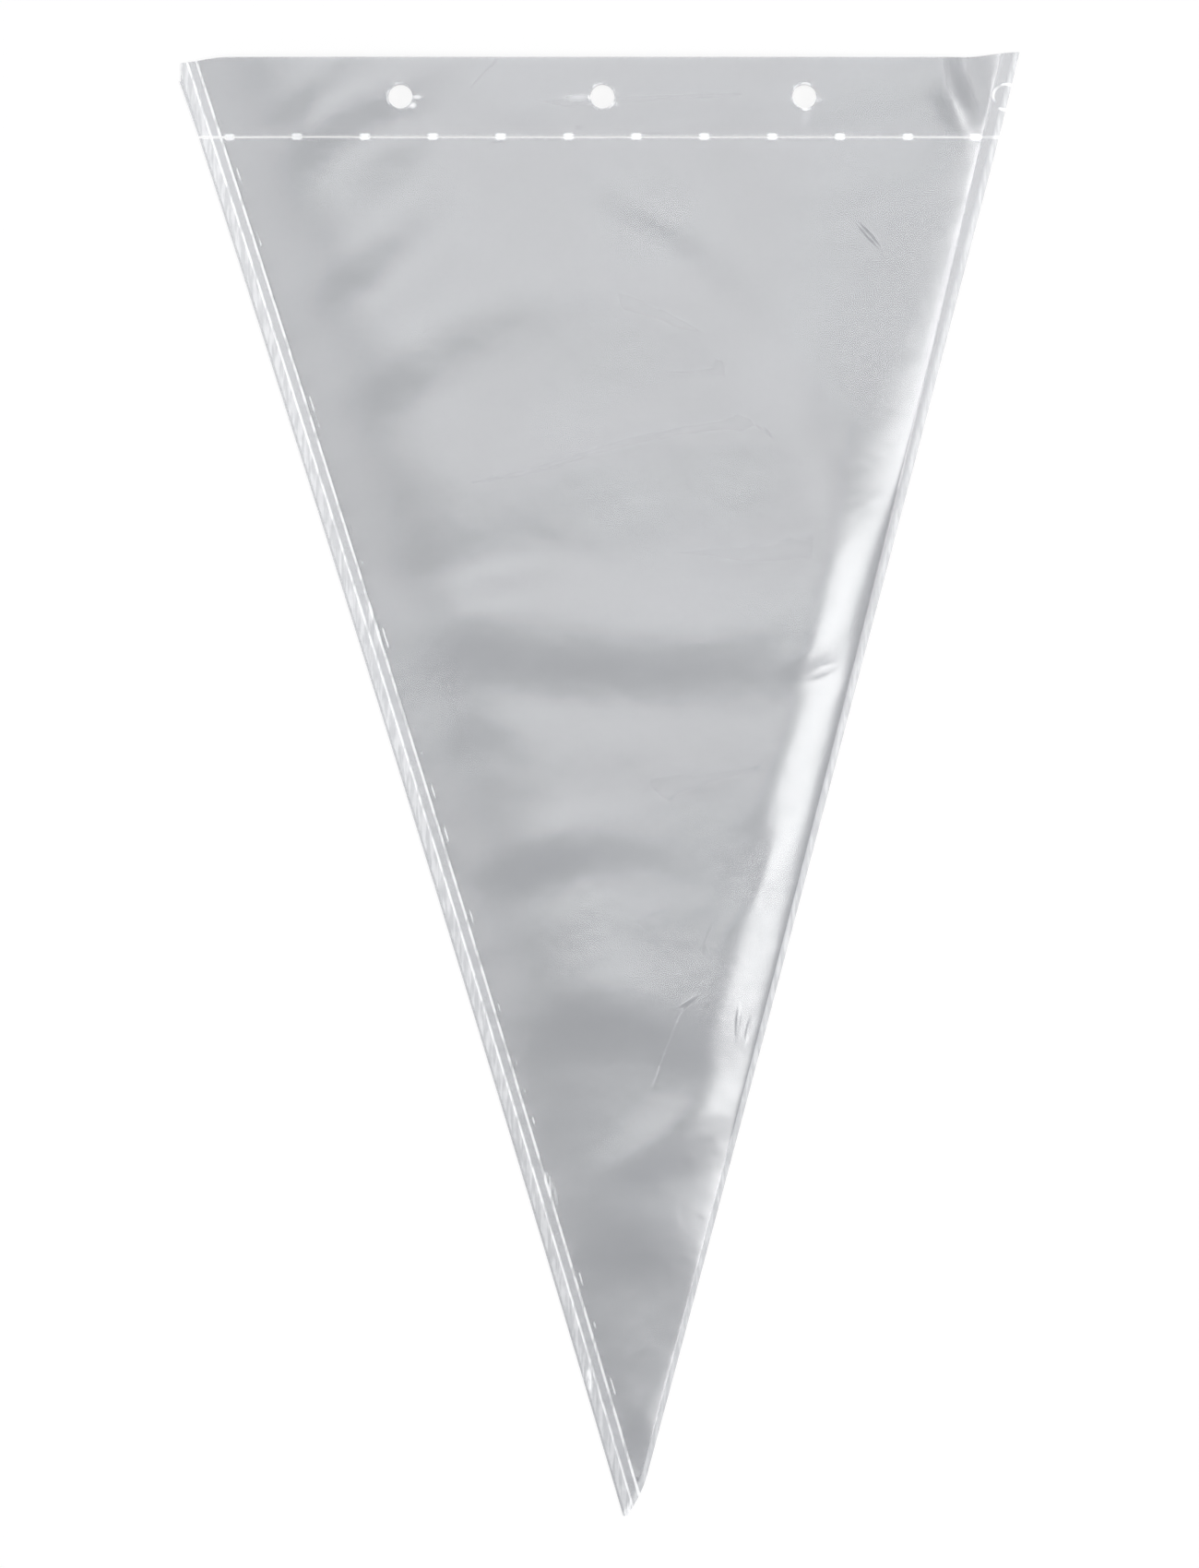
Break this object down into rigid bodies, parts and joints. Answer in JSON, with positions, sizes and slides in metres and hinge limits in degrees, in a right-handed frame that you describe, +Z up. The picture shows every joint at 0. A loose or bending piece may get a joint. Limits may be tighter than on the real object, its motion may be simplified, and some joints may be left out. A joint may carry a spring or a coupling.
{
  "type": "disposable piping bag",
  "caption": "Flat cone-shaped bag of clear plastic film, welded down both sides, open at the top, with a tear-off hanging header.",
  "frame": {"origin": "on the surface that the bag lies on, under the middle of its bounding box", "axes": "+Y from the tip to the header, +X to the right when seen from above, +Z up out of the surface"},
  "size_m": [0.3046, 0.531, 0.0084],
  "materials": {
    "clear_film": "clear polyethylene film with a slight blue-grey haze, smooth and glossy, whitened along its welds"
  },
  "bodies": {
    "root": {"piping_bag": "clear_film"}
  },
  "joints": []
}
